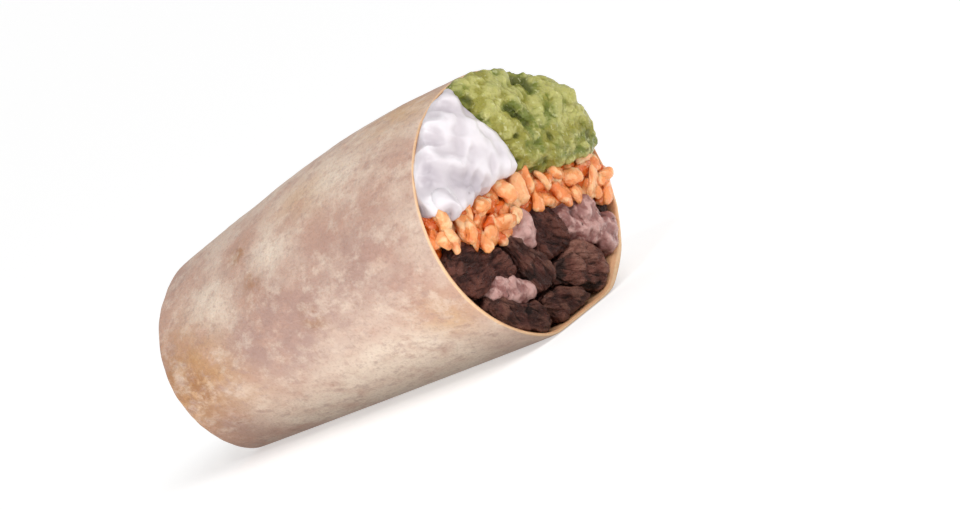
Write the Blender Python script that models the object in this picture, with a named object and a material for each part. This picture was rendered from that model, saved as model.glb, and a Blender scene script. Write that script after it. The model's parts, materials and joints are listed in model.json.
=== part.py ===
"""Half a burrito, cut across its middle and lying on its side.

A flour tortilla is rolled round layers that run its whole length: guacamole and
sour cream on top, a band of orange rice, then chopped steak with mashed beans.
The tail end is folded in. The other end is the cut, which shows every layer.

Metres, +Z up. The roll runs along +X from the tail to the cut, and rests on a
narrow flat along its underside. Layers are laid out on the cut, in a plane whose
own zero is the middle of the roll, and shrink with the roll towards the tail.
"""

import math

import bmesh
import bpy
from mathutils import Vector, noise

MM = 0.001

# The roll, from the start of its straight side to the middle of the cut.
ROLL_LENGTH = 99.7 * MM
CUT_RADIUS = 34.0 * MM
TAIL_RADIUS = 26.6 * MM
SQUASH = 0.955
REST_DEPTH = 2.0 * MM
REST_EASE = 0.8 * MM
SIDE_BOW = 2.4 * MM
CUT_SLANT_Y = 0.039
CUT_SLANT_Z = -0.039

# The tail's end cap, with its folded flaps.
TAIL_DEPTH = 4.6 * MM
TAIL_POWER = 2.6
FLAP_STEP = 0.9 * MM
FLAP_TILTS = (35.0, 155.0)
FLAP_REACH = 5.0 * MM

# The tortilla sheet, and the stretch where its two edges overlap.
SHEET = 1.3 * MM
SEAM_ANGLE = -70.0
SEAM_SPAN = 32.0
SEAM_EASE = 10.0
SEAM_STEP = 0.7 * MM
DENT = 0.35 * MM
DENT_LENGTH = 22.0 * MM
WRAP_SIDES = 60
WRAP_STATIONS = 12
LINING_STATIONS = 6
CAP_STEPS = (0.999, 0.98, 0.91, 0.76, 0.5, 0.22)

# Clearance from each layer to the wall, and half of that between two layers.
WALL_GAP = 0.6 * MM
HALF_GAP = 0.35 * MM
FILLING_GAP = 1.1 * MM
LAYER_BACK = 3.4 * MM
LAYER_STATIONS = (0.0, 0.14, 0.32, 0.55, 0.78, 0.97)

# Borders on the cut, in millimetres across and up from the middle of the roll.
RICE_TOP = (
    (-34.0, 12.0), (-29.5, 10.0), (-26.0, 7.4), (-20.0, 7.2), (-12.5, 7.6),
    (-6.0, 8.2), (1.0, 7.6), (5.0, 6.6), (12.0, 3.9), (22.0, 1.7), (34.0, -1.5),
)
RICE_BOTTOM = (
    (-34.0, 3.0), (-25.0, 1.0), (-21.0, -1.8), (-16.0, -3.8), (-11.0, -4.2),
    (-6.0, -3.0), (-2.0, -1.4), (4.0, -2.6), (10.0, -4.3), (17.0, -5.7),
    (21.5, -6.8), (25.5, -10.0), (34.0, -12.5),
)
CREAM_EDGE = (
    (2.0, 1.8), (7.0, 2.0), (12.8, 2.3), (21.5, -1.4), (26.0, -1.8), (31.0, -3.8), (36.0, -6.5),
)

# A heap's rings past the cut: share of its outline, share of its rise, share of its overhang.
HEAP_RINGS = (
    (1.0, 0.06, 0.0), (1.0, 0.2, 0.85), (0.98, 0.48, 1.0), (0.91, 0.74, 0.7),
    (0.78, 0.9, 0.3), (0.6, 0.98, 0.0), (0.38, 1.0, 0.0), (0.16, 1.0, 0.0),
)

GUACAMOLE_MIDDLE = (16.0, 15.0)
GUACAMOLE_SIDES = 44
GUACAMOLE_RISE = 5.6 * MM
GUACAMOLE_OVERHANG = 0.3
GUACAMOLE_LUMP = 1.9 * MM
PEAK_ANGLE = 28.0
PEAK_SPREAD = 20.0
SETTLING = 0.8
SETTLING_REACH = 7.0
SCOOP_MIDDLE = (13.0, 19.0)
SCOOP_RADIUS = 8.0
SCOOP_DEPTH = 2.6 * MM

CREAM_MIDDLE = (-11.0, 16.0)
CREAM_SIDES = 40
CREAM_RISE = 4.6 * MM
CREAM_OVERHANG = 0.08
CREAM_FOLD = 0.6 * MM
CREAM_FOLD_PITCH = 12.0
CREAM_FOLD_TILT = 35.0

RICE_COLUMNS = 26
RICE_RISE = 1.6 * MM
RICE_LUMP = 0.7 * MM
RICE_END = 2.4

FILLING_MIDDLE = (-1.0, -15.0)
FILLING_SIDES = 36

PIECE_DEPTH = 15.0 * MM
PIECE_SIDES = 22
PIECE_RINGS = ((0.7, 0.0), (1.0, 0.06), (1.0, 0.86), (0.96, 0.94), (0.82, 0.99), (0.45, 1.0))
PIECE_LUMP = 0.45 * MM
PIECE_SPREAD = 5.2

# Each piece of meat or beans: its middle line on the cut, as two ends (across and
# up), its radius, and how far its face stands out of the cut, all in millimetres.
STEAK_PIECES = (
    ((-28.0, -4.4), (-13.0, -10.0), 5.2, 0.8),
    ((-11.2, -6.6), (-5.8, -17.6), 3.8, 1.4),
    ((2.6, -6.8), (4.2, -12.8), 4.7, 0.6),
    ((3.8, -19.2), (13.8, -23.6), 5.0, 1.0),
    ((-24.0, -17.0), (-11.6, -25.4), 3.8, 0.4),
    ((-7.6, -23.2), (3.8, -27.4), 3.1, 0.2),
    ((23.6, -11.6), (26.4, -12.2), 2.6, -0.8),
)
BEAN_PIECES = (
    ((16.6, -9.6), (20.4, -18.4), 4.6, 0.6),
    ((-5.0, -3.8), (-3.2, -7.0), 2.8, 0.4),
    ((-20.4, -12.8), (-14.4, -17.0), 3.0, -0.4),
)


def clear_scene():
    """Remove every object, so that the model starts empty."""
    for item in list(bpy.data.objects):
        bpy.data.objects.remove(item, do_unlink=True)


def smooth_curve(points, place):
    """Read a smooth curve through the points at a place between the first and the last."""
    last = len(points) - 1
    place = min(max(place, points[0][0]), points[last][0])
    index = 0
    while index < last - 1 and points[index + 1][0] < place:
        index += 1
    start, end = points[index], points[index + 1]
    before, after = points[max(index - 1, 0)], points[min(index + 2, last)]
    run = end[0] - start[0]
    slope_start = (end[1] - before[1]) / (end[0] - before[0]) * run
    slope_end = (after[1] - start[1]) / (after[0] - start[0]) * run
    part = (place - start[0]) / run
    square, cube = part * part, part * part * part
    return (
        (2 * cube - 3 * square + 1) * start[1]
        + (cube - 2 * square + part) * slope_start
        + (3 * square - 2 * cube) * end[1]
        + (cube - square) * slope_end
    )


def ease(value):
    """Rise smoothly from 0 to 1 as value goes from 0 to 1."""
    value = min(max(value, 0.0), 1.0)
    return value * value * (3.0 - 2.0 * value)


def roll_radius(x):
    """The roll's radius at x: it swells from the tail to the cut."""
    share = min(max(x / ROLL_LENGTH, 0.0), 1.0)
    return TAIL_RADIUS + (CUT_RADIUS - TAIL_RADIUS) * math.sin(share * math.pi / 2)


def roll_middle(x):
    """The middle of the roll's section at x, as (y, z)."""
    share = min(max(x / ROLL_LENGTH, 0.0), 1.0)
    return SIDE_BOW * share ** 1.5, roll_radius(x) * SQUASH - REST_DEPTH


def seam_share(degrees):
    """Go from 0 to 1 along the overlap of the sheet's two edges, or None away from it."""
    turn = (degrees - SEAM_ANGLE) % 360.0
    return turn / SEAM_SPAN if turn <= SEAM_SPAN else None


def outer_step(degrees):
    """How far the outer edge of the sheet stands out at this angle."""
    share = seam_share(degrees)
    return 0.0 if share is None else SEAM_STEP * (1.0 - share)


def wall(degrees):
    """The wall's thickness at this angle: two sheets where the edges overlap."""
    turn = (degrees - SEAM_ANGLE) % 360.0
    rise = ease(turn / SEAM_EASE) * ease((SEAM_SPAN - turn) / SEAM_EASE)
    return SHEET * (1.0 + rise)


def dent(point):
    """A slow, shallow unevenness of the sheet."""
    return DENT * noise.noise(point / DENT_LENGTH)


def rest_height(height):
    """Flatten a height that falls below the rest, with a soft turn into the flat."""
    if height >= REST_EASE:
        return height
    return max(height + REST_EASE, 0.0) ** 2 / (4 * REST_EASE)


def wrap_point(x, turn, shrink, inset):
    """A point of the wrap's section at x: turned, drawn in by shrink and set in by inset."""
    degrees = math.degrees(turn)
    middle_y, middle_z = roll_middle(x)
    radius = roll_radius(x) - inset
    if inset == 0.0:
        radius += outer_step(degrees)
    radius *= shrink
    y = middle_y + radius * math.cos(turn)
    z = middle_z + radius * SQUASH * math.sin(turn)
    return Vector((x, y, inset + rest_height(z - inset)))


def cut_offset(y, z):
    """How far the slanted cut stands past ROLL_LENGTH at a place from the roll's middle."""
    return CUT_SLANT_Y * y + CUT_SLANT_Z * z


def flap_relief(y, z):
    """The folded flaps on the tail: each stands out on its own side of a straight edge."""
    relief = 0.0
    for tilt in FLAP_TILTS:
        angle = math.radians(tilt)
        across = y * math.cos(angle) + z * math.sin(angle) - FLAP_REACH
        relief += FLAP_STEP * ease(across / (2 * MM) + 0.5)
    return relief


def turns(count):
    """Equal turns round a circle."""
    return [2 * math.pi * index / count for index in range(count)]


def solid_from_rings(name, rings, colour, roughness):
    """Join rings of equal count into one closed body, each end closed to its middle."""
    mesh = bpy.data.meshes.new(name)
    work = bmesh.new()
    loops = [[work.verts.new(point) for point in ring] for ring in rings]
    count = len(loops[0])
    for near, far in zip(loops, loops[1:]):
        for index in range(count):
            following = (index + 1) % count
            work.faces.new((near[index], near[following], far[following], far[index]))
    for loop in (loops[0], loops[-1]):
        middle = work.verts.new(sum((vert.co for vert in loop), Vector()) / count)
        for index in range(count):
            work.faces.new((loop[index], loop[(index + 1) % count], middle))
    bmesh.ops.remove_doubles(work, verts=work.verts, dist=0.00001)
    bmesh.ops.recalc_face_normals(work, faces=work.faces)
    work.to_mesh(mesh)
    work.free()
    mesh.shade_smooth()
    mesh.set_sharp_from_angle(angle=math.radians(40))
    mesh.materials.append(food_material(name, colour, roughness))
    item = bpy.data.objects.new(name, mesh)
    bpy.context.scene.collection.objects.link(item)
    return item


def food_material(name, colour, roughness):
    """A matte or moist food finish."""
    material = bpy.data.materials.new(name + "_finish")
    material.use_nodes = True
    shader = material.node_tree.nodes["Principled BSDF"]
    shader.inputs["Base Color"].default_value = (*colour, 1.0)
    shader.inputs["Roughness"].default_value = roughness
    shader.inputs["Metallic"].default_value = 0.0
    return material


def build_tortilla():
    """The wrap: a closed tail, a swelling side, a cut rim and the same shape inside."""
    circle = turns(WRAP_SIDES)
    rings = []
    for step in CAP_STEPS:
        shrink = (1 - step ** TAIL_POWER) ** (1 / TAIL_POWER)
        ring = [wrap_point(0.0, turn, shrink, 0.0) for turn in circle]
        middle_y, middle_z = roll_middle(0.0)
        for point in ring:
            relief = flap_relief(point.y - middle_y, point.z - middle_z)
            point.x = -TAIL_DEPTH * step - relief * ease((1.0 - shrink) * 4)
        rings.append(ring)
    for station in range(WRAP_STATIONS + 1):
        rings.append(side_ring(station / WRAP_STATIONS, circle, False))
    for station in range(LINING_STATIONS, 0, -1):
        rings.append(side_ring(station / LINING_STATIONS, circle, True))
    for step in (0.3, 0.8, 0.98):
        shrink = (1 - step ** TAIL_POWER) ** (1 / TAIL_POWER)
        ring = [wrap_point(SHEET * 2, turn, shrink, wall(math.degrees(turn))) for turn in circle]
        for point in ring:
            point.x = SHEET + SHEET * (1 - step)
        rings.append(ring)
    solid_from_rings("tortilla", rings, (0.60, 0.42, 0.33), 0.6)


def side_ring(share, circle, lining):
    """One ring of the wrap's side, outside or on its lining, slanting in with the cut."""
    x = ROLL_LENGTH * share
    middle_y, middle_z = roll_middle(x)
    ring = []
    for turn in circle:
        inset = wall(math.degrees(turn)) if lining else 0.0
        point = wrap_point(x, turn, 1.0, inset)
        if not lining and point.z > REST_DEPTH:
            outward = Vector((0.0, point.y - middle_y, point.z - middle_z)).normalized()
            point += outward * dent(point) * ease((point.z - REST_DEPTH) / (6 * MM))
        point.x += share * share * cut_offset(point.y - middle_y, point.z - middle_z)
        ring.append(point)
    return ring


def inside_wall(y, z):
    """Clearance from the wall's lining at the cut, in millimetres, less the wall gap."""
    degrees = math.degrees(math.atan2(z / SQUASH, y))
    round_room = (CUT_RADIUS - wall(degrees) - WALL_GAP) / MM - math.hypot(y, z / SQUASH)
    floor_room = z + (CUT_RADIUS * SQUASH - REST_DEPTH - SHEET - WALL_GAP) / MM
    return min(round_room * SQUASH, floor_room)


def above(points):
    """Clearance above a border that runs across the cut."""
    return lambda y, z: z - smooth_curve(points, y) - HALF_GAP / MM


def below(points, gap=HALF_GAP):
    """Clearance below a border that runs across the cut."""
    return lambda y, z: smooth_curve(points, y) - z - gap / MM


def left_of(points):
    """Clearance to the left of a border that runs up the cut."""
    return lambda y, z: smooth_curve(points, z) - y - HALF_GAP / MM


def right_of(points):
    """Clearance to the right of a border that runs up the cut."""
    return lambda y, z: y - smooth_curve(points, z) - HALF_GAP / MM


def outline(middle, limits, count):
    """The outline seen from a middle: each ray runs until one of the limits stops it."""
    points = []
    for turn in turns(count):
        step_y, step_z = math.cos(turn), math.sin(turn)
        reach, stride = 0.0, 1.0
        while stride > 0.005:
            y = middle[0] + (reach + stride) * step_y
            z = middle[1] + (reach + stride) * step_z
            if min(limit(y, z) for limit in limits) > 0.0:
                reach += stride
            else:
                stride /= 2
        points.append((middle[0] + reach * step_y, middle[1] + reach * step_z))
    return points


def rounded(points, middle):
    """Draw an outline's corners in, never past the outline itself."""
    count = len(points)
    limit = [math.dist(point, middle) for point in points]
    reach = [min(limit[i], (limit[i - 1] + 2 * limit[i] + limit[(i + 1) % count]) / 4) for i in range(count)]
    return [
        (middle[0] + reach[i] * math.cos(turn), middle[1] + reach[i] * math.sin(turn))
        for i, turn in enumerate(turns(count))
    ]


def layer_point(x, y, z, rise=0.0):
    """Carry a place on the cut, in millimetres, to the roll's section at x."""
    middle_y, middle_z = roll_middle(x)
    scale = (roll_radius(x) - 2 * SHEET) / (CUT_RADIUS - 2 * SHEET)
    share = min(max(x / ROLL_LENGTH, 0.0), 1.0)
    offset = share * share * cut_offset(y * MM, z * MM)
    return Vector((x + offset + rise, middle_y + y * MM * scale, middle_z + z * MM * scale))


def toward(point, middle, share):
    """Move a place on the cut towards a middle: share 1 keeps it, 0 reaches the middle."""
    return tuple(middle[axis] + (point[axis] - middle[axis]) * share for axis in (0, 1))


def body_rings(points, middle, stop):
    """The rings of a layer from its back to stop, which is a share of the roll."""
    rings = [[layer_point(LAYER_BACK, *toward(p, middle, 0.5)) for p in points]]
    for share in LAYER_STATIONS:
        x = LAYER_BACK + (ROLL_LENGTH - LAYER_BACK) * share * stop
        rings.append([layer_point(x, *p) for p in points])
    return rings


def scooped(y, z):
    """The hollow that the spoon left in the guacamole."""
    away = math.dist((y, z), SCOOP_MIDDLE) / SCOOP_RADIUS
    return SCOOP_DEPTH * math.exp(-away * away * 1.6)


def guacamole_rise(y, z):
    """How high the mash stands: it settles to the rim away from one peak at the wall."""
    near_wall = 1.0 - min(max(inside_wall(y, z), 0.0) / SETTLING_REACH, 1.0)
    away = (math.degrees(math.atan2(z, y)) - PEAK_ANGLE) / PEAK_SPREAD
    return GUACAMOLE_RISE * (1.0 - SETTLING * near_wall * (1.0 - math.exp(-away * away)))


def heap_rings(points, middle, rise_at, overhang, relief):
    """The rings of a heap that stands out of the cut and spreads over the rim.

    rise_at gives the heap's height at a place. overhang is how far it spreads past the
    wall, as a share of its height there.
    """
    rings = []
    for share, lift, spread in HEAP_RINGS:
        ring = []
        for point in points:
            outer = toward(point, middle, share)
            rise = rise_at(*point)
            room = inside_wall(*point)
            away = math.hypot(*outer) or 1.0
            push = spread * overhang * rise / MM * ease(1.0 - room / 3.0) / away
            y, z = outer[0] * (1 + push), outer[1] * (1 + push)
            extra = relief(y, z) * ease((lift - 0.06) * 3)
            ring.append(layer_point(ROLL_LENGTH, y, z, rise_at(*outer) * lift + extra))
        rings.append(ring)
    return rings


def guacamole_relief(y, z):
    """Chunky mash, with the spoon's hollow."""
    return GUACAMOLE_LUMP * noise.noise(Vector((y / 6.5, z / 6.5, 3.0))) - scooped(y, z)


def cream_relief(y, z):
    """Soft folds that lie across the spoonful."""
    tilt = math.radians(CREAM_FOLD_TILT)
    along = y * math.cos(tilt) + z * math.sin(tilt) + 2.5 * noise.noise(Vector((y / 9.0, z / 9.0, 5.0)))
    return CREAM_FOLD * math.sin(2 * math.pi * along / CREAM_FOLD_PITCH)


def build_guacamole():
    """The upper right layer, standing out of the cut and over the rim."""
    limits = (inside_wall, above(RICE_TOP), right_of(CREAM_EDGE))
    points = outline(GUACAMOLE_MIDDLE, limits, GUACAMOLE_SIDES)
    rings = body_rings(points, GUACAMOLE_MIDDLE, 1.0)
    rings += heap_rings(points, GUACAMOLE_MIDDLE, guacamole_rise, GUACAMOLE_OVERHANG, guacamole_relief)
    solid_from_rings("guacamole", rings, (0.30, 0.30, 0.08), 0.4)


def build_sour_cream():
    """The upper left layer, smooth and softly folded."""
    limits = (inside_wall, above(RICE_TOP), left_of(CREAM_EDGE))
    points = outline(CREAM_MIDDLE, limits, CREAM_SIDES)
    rings = body_rings(points, CREAM_MIDDLE, 1.0)
    rings += heap_rings(points, CREAM_MIDDLE, lambda y, z: CREAM_RISE, CREAM_OVERHANG, cream_relief)
    solid_from_rings("sour_cream", rings, (0.80, 0.77, 0.78), 0.35)


def wall_height(y, side):
    """The height, in millimetres, at which a place at y meets the wall, above or below."""
    height, stride = 0.0, 2.0
    while stride > 0.01:
        if inside_wall(y, side * (height + stride)) > 0.0:
            height += stride
        else:
            stride /= 2
    return side * height


def rice_line(y, part):
    """A height in the rice band: part 0 is its underside and part 1 its top."""
    low = max(smooth_curve(RICE_BOTTOM, y) + HALF_GAP / MM, wall_height(y, -1))
    high = min(smooth_curve(RICE_TOP, y) - HALF_GAP / MM, wall_height(y, 1))
    return low + (high - low) * part


def rice_ends():
    """Where the band gets thinner than RICE_END against the wall, on the left and right."""
    ends = []
    for side in (-1.0, 1.0):
        y = 20.0 * side
        while rice_line(y, 1.0) - rice_line(y, 0.0) > RICE_END:
            y += side * 0.1
        ends.append(y)
    return ends


def rice_ring(x, ends, narrow, rise):
    """A ring of the rice band, drawn in towards its middle line by narrow."""
    start, end = ends
    ring = []
    for side in (1, -1):
        for column in range(RICE_COLUMNS + 1):
            share = column / RICE_COLUMNS if side > 0 else 1 - column / RICE_COLUMNS
            y = start + (end - start) * (0.5 + (share - 0.5) * (0.9 + 0.1 * narrow))
            z = rice_line(y, 0.5 + side * 0.5 * narrow)
            lump = RICE_LUMP * noise.noise(Vector((y / 4.0, z / 4.0, 2.0))) if rise else 0.0
            ring.append(layer_point(x, y, z, rise + lump))
    return ring


def build_rice():
    """The rice band between the toppings and the meat, out to its uneven outline."""
    ends = rice_ends()
    rings = [rice_ring(LAYER_BACK, ends, 0.5, 0.0)]
    for share in LAYER_STATIONS:
        rings.append(rice_ring(LAYER_BACK + (ROLL_LENGTH - LAYER_BACK) * share, ends, 1.0, 0.0))
    for narrow, lift in ((0.97, 0.45), (0.8, 0.85), (0.45, 1.0)):
        rings.append(rice_ring(ROLL_LENGTH, ends, narrow, RICE_RISE * lift))
    solid_from_rings("rice", rings, (0.73, 0.34, 0.14), 0.5)


def build_steak_filling():
    """The chopped meat behind the pieces that show, from the tail forwards."""
    points = outline(FILLING_MIDDLE, (inside_wall, below(RICE_BOTTOM, FILLING_GAP)), FILLING_SIDES)
    stop = 1.0 - (PIECE_DEPTH + WALL_GAP) / (ROLL_LENGTH - LAYER_BACK) / LAYER_STATIONS[-1]
    rings = body_rings(points, FILLING_MIDDLE, stop)
    last = LAYER_BACK + (ROLL_LENGTH - LAYER_BACK) * LAYER_STATIONS[-1] * stop
    rings.append([layer_point(last, *toward(p, FILLING_MIDDLE, 0.5)) for p in points])
    solid_from_rings("steak_filling", rings, (0.08, 0.035, 0.03), 0.5)


def line_distance(y, z, piece):
    """Distance from a place to a piece's middle line, less the piece's radius."""
    start, end, radius = Vector(piece[0]), Vector(piece[1]), piece[2]
    place, run = Vector((y, z)), end - start
    share = min(max((place - start).dot(run) / run.length_squared, 0.0), 1.0)
    return (place - start - run * share).length - radius


def piece_limits(piece, pieces):
    """What bounds a piece: the wall, the rice, its own size and halfway to each neighbour."""
    limits = [inside_wall, below(RICE_BOTTOM)]
    limits.append(lambda y, z: PIECE_SPREAD - line_distance(y, z, piece))
    for other in pieces:
        if other is not piece:
            limits.append(
                lambda y, z, other=other: (line_distance(y, z, other) - line_distance(y, z, piece)) / 2
                - HALF_GAP / MM
            )
    return limits


def build_piece(name, piece, pieces, colour):
    """One piece of meat or beans: a rounded block whose face shows in the cut."""
    middle = tuple((piece[0][axis] + piece[1][axis]) / 2 for axis in (0, 1))
    points = rounded(outline(middle, piece_limits(piece, pieces), PIECE_SIDES), middle)
    back, face = ROLL_LENGTH - PIECE_DEPTH, ROLL_LENGTH + piece[3] * MM
    rings = []
    for share, depth in PIECE_RINGS:
        x = back + (face - back) * depth
        ring = []
        for point in points:
            y, z = toward(point, middle, share)
            lump = PIECE_LUMP * (noise.noise(Vector((y / 3.0, z / 3.0, middle[0]))) - 0.5)
            place = layer_point(min(x, ROLL_LENGTH), y, z, max(x - ROLL_LENGTH, 0.0))
            ring.append(place + Vector((lump * 2 if depth > 0.9 else 0.0, 0.0, 0.0)))
        rings.append(ring)
    solid_from_rings(name, rings, colour, 0.45)


def build_pieces():
    """Every piece of steak and of mashed beans that shows in the cut."""
    pieces = STEAK_PIECES + BEAN_PIECES
    for number, piece in enumerate(STEAK_PIECES, start=1):
        build_piece(f"steak_chunk_{number}", piece, pieces, (0.09, 0.035, 0.025))
    for number, piece in enumerate(BEAN_PIECES, start=1):
        build_piece(f"bean_mash_{number}", piece, pieces, (0.42, 0.21, 0.17))


def stand_on_origin():
    """Hang every solid on one empty, with the box's bottom middle at the origin."""
    solids = [item for item in bpy.data.objects if item.type == "MESH"]
    corners = [vert.co for item in solids for vert in item.data.vertices]
    low = Vector(tuple(min(corner[axis] for corner in corners) for axis in range(3)))
    high = Vector(tuple(max(corner[axis] for corner in corners) for axis in range(3)))
    holder = bpy.data.objects.new("burrito", None)
    bpy.context.scene.collection.objects.link(holder)
    holder.location = (-(low.x + high.x) / 2, -(low.y + high.y) / 2, -low.z)
    for item in solids:
        item.parent = holder


def main():
    """Build the burrito half, layer by layer."""
    clear_scene()
    build_tortilla()
    build_guacamole()
    build_sour_cream()
    build_rice()
    build_steak_filling()
    build_pieces()
    stand_on_origin()


main()
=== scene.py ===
"""Looks of half a burrito, laid on its side with the cut towards the viewer.

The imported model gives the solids. This script replaces each one with a piece that
has the surface of the real food: a griddled flour tortilla, mashed avocado, soured
cream, orange long-grain rice, chopped steak and mashed beans.
"""

import json
import logging
import math
import random
from collections.abc import Iterator
from contextlib import contextmanager
from dataclasses import dataclass, replace
from enum import Enum

import bpy
import numpy as np
from bpy.types import Material, Node, NodeSocket, Object
from mathutils import Euler, Matrix, Vector, noise
from mathutils.bvhtree import BVHTree

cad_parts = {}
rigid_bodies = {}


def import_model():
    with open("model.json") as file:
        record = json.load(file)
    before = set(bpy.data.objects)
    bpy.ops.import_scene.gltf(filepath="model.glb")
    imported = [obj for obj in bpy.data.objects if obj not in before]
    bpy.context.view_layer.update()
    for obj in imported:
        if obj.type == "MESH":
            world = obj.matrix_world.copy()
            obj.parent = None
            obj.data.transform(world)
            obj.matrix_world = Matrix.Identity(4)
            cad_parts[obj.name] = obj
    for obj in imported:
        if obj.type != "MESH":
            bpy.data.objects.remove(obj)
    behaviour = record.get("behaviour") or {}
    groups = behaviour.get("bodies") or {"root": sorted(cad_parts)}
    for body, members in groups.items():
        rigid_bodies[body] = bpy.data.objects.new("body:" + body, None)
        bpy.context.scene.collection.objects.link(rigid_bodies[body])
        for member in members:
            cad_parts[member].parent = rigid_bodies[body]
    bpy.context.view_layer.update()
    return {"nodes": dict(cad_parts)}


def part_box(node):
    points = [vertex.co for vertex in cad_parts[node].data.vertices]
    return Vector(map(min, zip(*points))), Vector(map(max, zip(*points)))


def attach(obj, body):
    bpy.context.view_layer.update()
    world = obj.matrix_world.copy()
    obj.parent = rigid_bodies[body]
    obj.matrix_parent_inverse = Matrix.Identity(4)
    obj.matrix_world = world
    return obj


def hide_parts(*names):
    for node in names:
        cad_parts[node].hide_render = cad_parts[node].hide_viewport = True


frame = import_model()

LOG = logging.getLogger("burrito")
MM = 0.001
BODY = "root"
NOISE_SEED = 7
MERGE_DISTANCE = 0.005 * MM
MARK_FALLOFF = 1.4
RIDGE_TOP, RIDGE_STEEPNESS = 0.7, 2.4
WARP_SCALE, WARP_DEPTH = 0.7, 0.4
PEBBLE_TOP, PEBBLE_STEEPNESS = 0.9, 2.0
FIBRE_HEIGHT, FIBRE_BASE = 1.3, -0.9
TORTILLA_LOW, TORTILLA_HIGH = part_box("tortilla")
CUT_SLANT = 0.039
CUT_RADIUS = 34.0 * MM
CUT_X = TORTILLA_HIGH.x - CUT_SLANT * CUT_RADIUS * math.sqrt(2)


class Pattern(Enum):
    """How the heights of a relief run."""

    ROLLING = "soft rises and dips"
    PEBBLED = "round lumps that meet in creases"
    RIDGED = "soft hollows between sharp crests"
    FIBROUS = "bundles of fibres with cracks between them"


def linear(colour: str) -> tuple[float, float, float, float]:
    """Turn an sRGB hex colour into linear red, green, blue and alpha.

    Args:
        colour: Six hex digits after a hash sign.

    Returns:
        The linear colour, fully opaque.
    """
    channels = [int(colour[start : start + 2], 16) / 255 for start in (1, 3, 5)]
    bent = [c / 12.92 if c <= 0.04045 else ((c + 0.055) / 1.055) ** 2.4 for c in channels]
    return (bent[0], bent[1], bent[2], 1.0)


def per_metre(size_mm: float) -> float:
    """Return the pattern scale, per metre, of marks that are size_mm apart."""
    return 1000.0 / size_mm


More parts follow.
